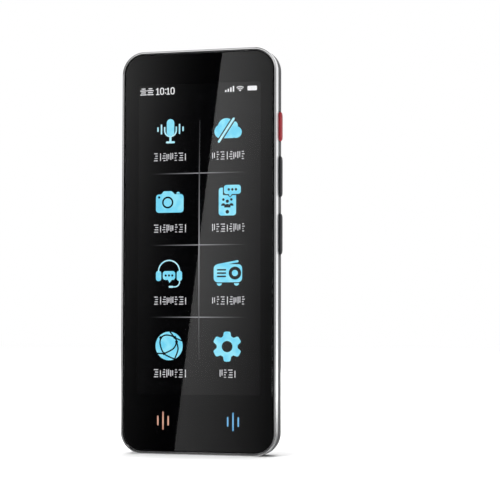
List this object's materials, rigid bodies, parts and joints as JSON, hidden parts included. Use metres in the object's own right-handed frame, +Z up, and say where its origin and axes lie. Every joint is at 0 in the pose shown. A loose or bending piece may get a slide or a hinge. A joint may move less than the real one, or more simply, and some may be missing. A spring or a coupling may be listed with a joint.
{
  "type": "handheld electronic translator",
  "caption": "Slim bar-shaped handheld translator with a full-height touch display, silver metal frame, grey back with a camera and loudspeaker panel, side keys and a card tray.",
  "frame": {"origin": "middle of the bottom end that it stands on, half way across the casing and half way through its depth", "axes": "+Z up the long side towards the loudspeaker end; +Y from the display through to the back; +X towards the keys, which are on the right when the display is read"},
  "size_m": [0.0572, 0.0118, 0.142],
  "materials": {
    "screen_glass": "polished clear glass, black ink round the display",
    "display_black": "glossy black",
    "silver_anodised": "fine blasted, silver anodised",
    "grey_shell": "satin moulded, fine grain",
    "dark_panel": "satin, darker than the shell",
    "red_key": "satin red",
    "dark_key": "satin dark grey",
    "cream_lens": "cream phosphor behind a clear cover",
    "orange_guide": "lit orange light guide",
    "blue_guide": "lit blue light guide",
    "white_sheet": "white diffuser",
    "black_plastic": "moulded black",
    "green_board": "solder resist",
    "steel": "pressed sheet",
    "copper_flex": "amber film over copper",
    "battery_film": "dark grey wrap",
    "black_foam": "closed cell foam"
  },
  "bodies": {
    "casing": {"battery": "battery_film", "battery_board": "green_board", "battery_connector": "black_plastic", "battery_lead": "copper_flex", "board_flex": "copper_flex", "board_screw_1": "steel", "board_screw_2": "steel", "board_screw_3": "steel", "board_screw_4": "steel", "camera_barrel": "black_plastic", "camera_connector": "black_plastic", "camera_flex": "copper_flex", "camera_housing": "black_plastic", "camera_panel": "dark_panel", "camera_window": "display_black", "cellular_antenna": "copper_flex", "cover_glass": "screen_glass", "display_backlight": "white_sheet", "display_connector": "black_plastic", "display_flex": "copper_flex", "display_panel": "display_black", "flash_led": "cream_lens", "flash_window": "cream_lens", "key_bracket": "steel", "key_flex": "copper_flex", "main_board": "green_board", "microphone_bottom": "steel", "microphone_top": "steel", "mid_frame": "silver_anodised", "power_switch": "steel", "processor_shield": "steel", "radio_shield": "steel", "rear_shell": "grey_shell", "sim_socket": "steel", "speaker_box": "black_plastic", "speaker_driver": "display_black", "speaker_gasket": "black_foam", "speaker_mesh": "steel", "speaker_screw_1": "steel", "speaker_screw_2": "steel", "sub_board": "green_board", "sub_board_screw_1": "steel", "sub_board_screw_2": "steel", "touch_key_board": "green_board", "touch_light_left": "orange_guide", "touch_light_right": "blue_guide", "usb_shell": "steel", "usb_tongue": "black_plastic", "volume_down_switch": "steel", "volume_up_switch": "steel", "wifi_antenna": "copper_flex"},
    "power_key": {"power_key": "red_key"},
    "volume_up_key": {"volume_up_key": "dark_key"},
    "volume_down_key": {"volume_down_key": "dark_key"},
    "sim_tray": {"sim_tray": "grey_shell"}
  },
  "joints": [
    {"name": "power_key_press", "type": "slide", "parent": "casing", "child": "power_key", "axis": [-1, 0, 0], "range_m": [0, 0.00035], "stiffness_N_per_m": 3000, "springref_m": -0.0002},
    {"name": "volume_up_key_press", "type": "slide", "parent": "casing", "child": "volume_up_key", "axis": [-1, 0, 0], "range_m": [0, 0.00035], "stiffness_N_per_m": 3000, "springref_m": -0.0002},
    {"name": "volume_down_key_press", "type": "slide", "parent": "casing", "child": "volume_down_key", "axis": [-1, 0, 0], "range_m": [0, 0.00035], "stiffness_N_per_m": 3000, "springref_m": -0.0002},
    {"name": "sim_tray_pull", "type": "slide", "parent": "casing", "child": "sim_tray", "axis": [-1, 0, 0], "range_m": [0, 0.014]}
  ]
}
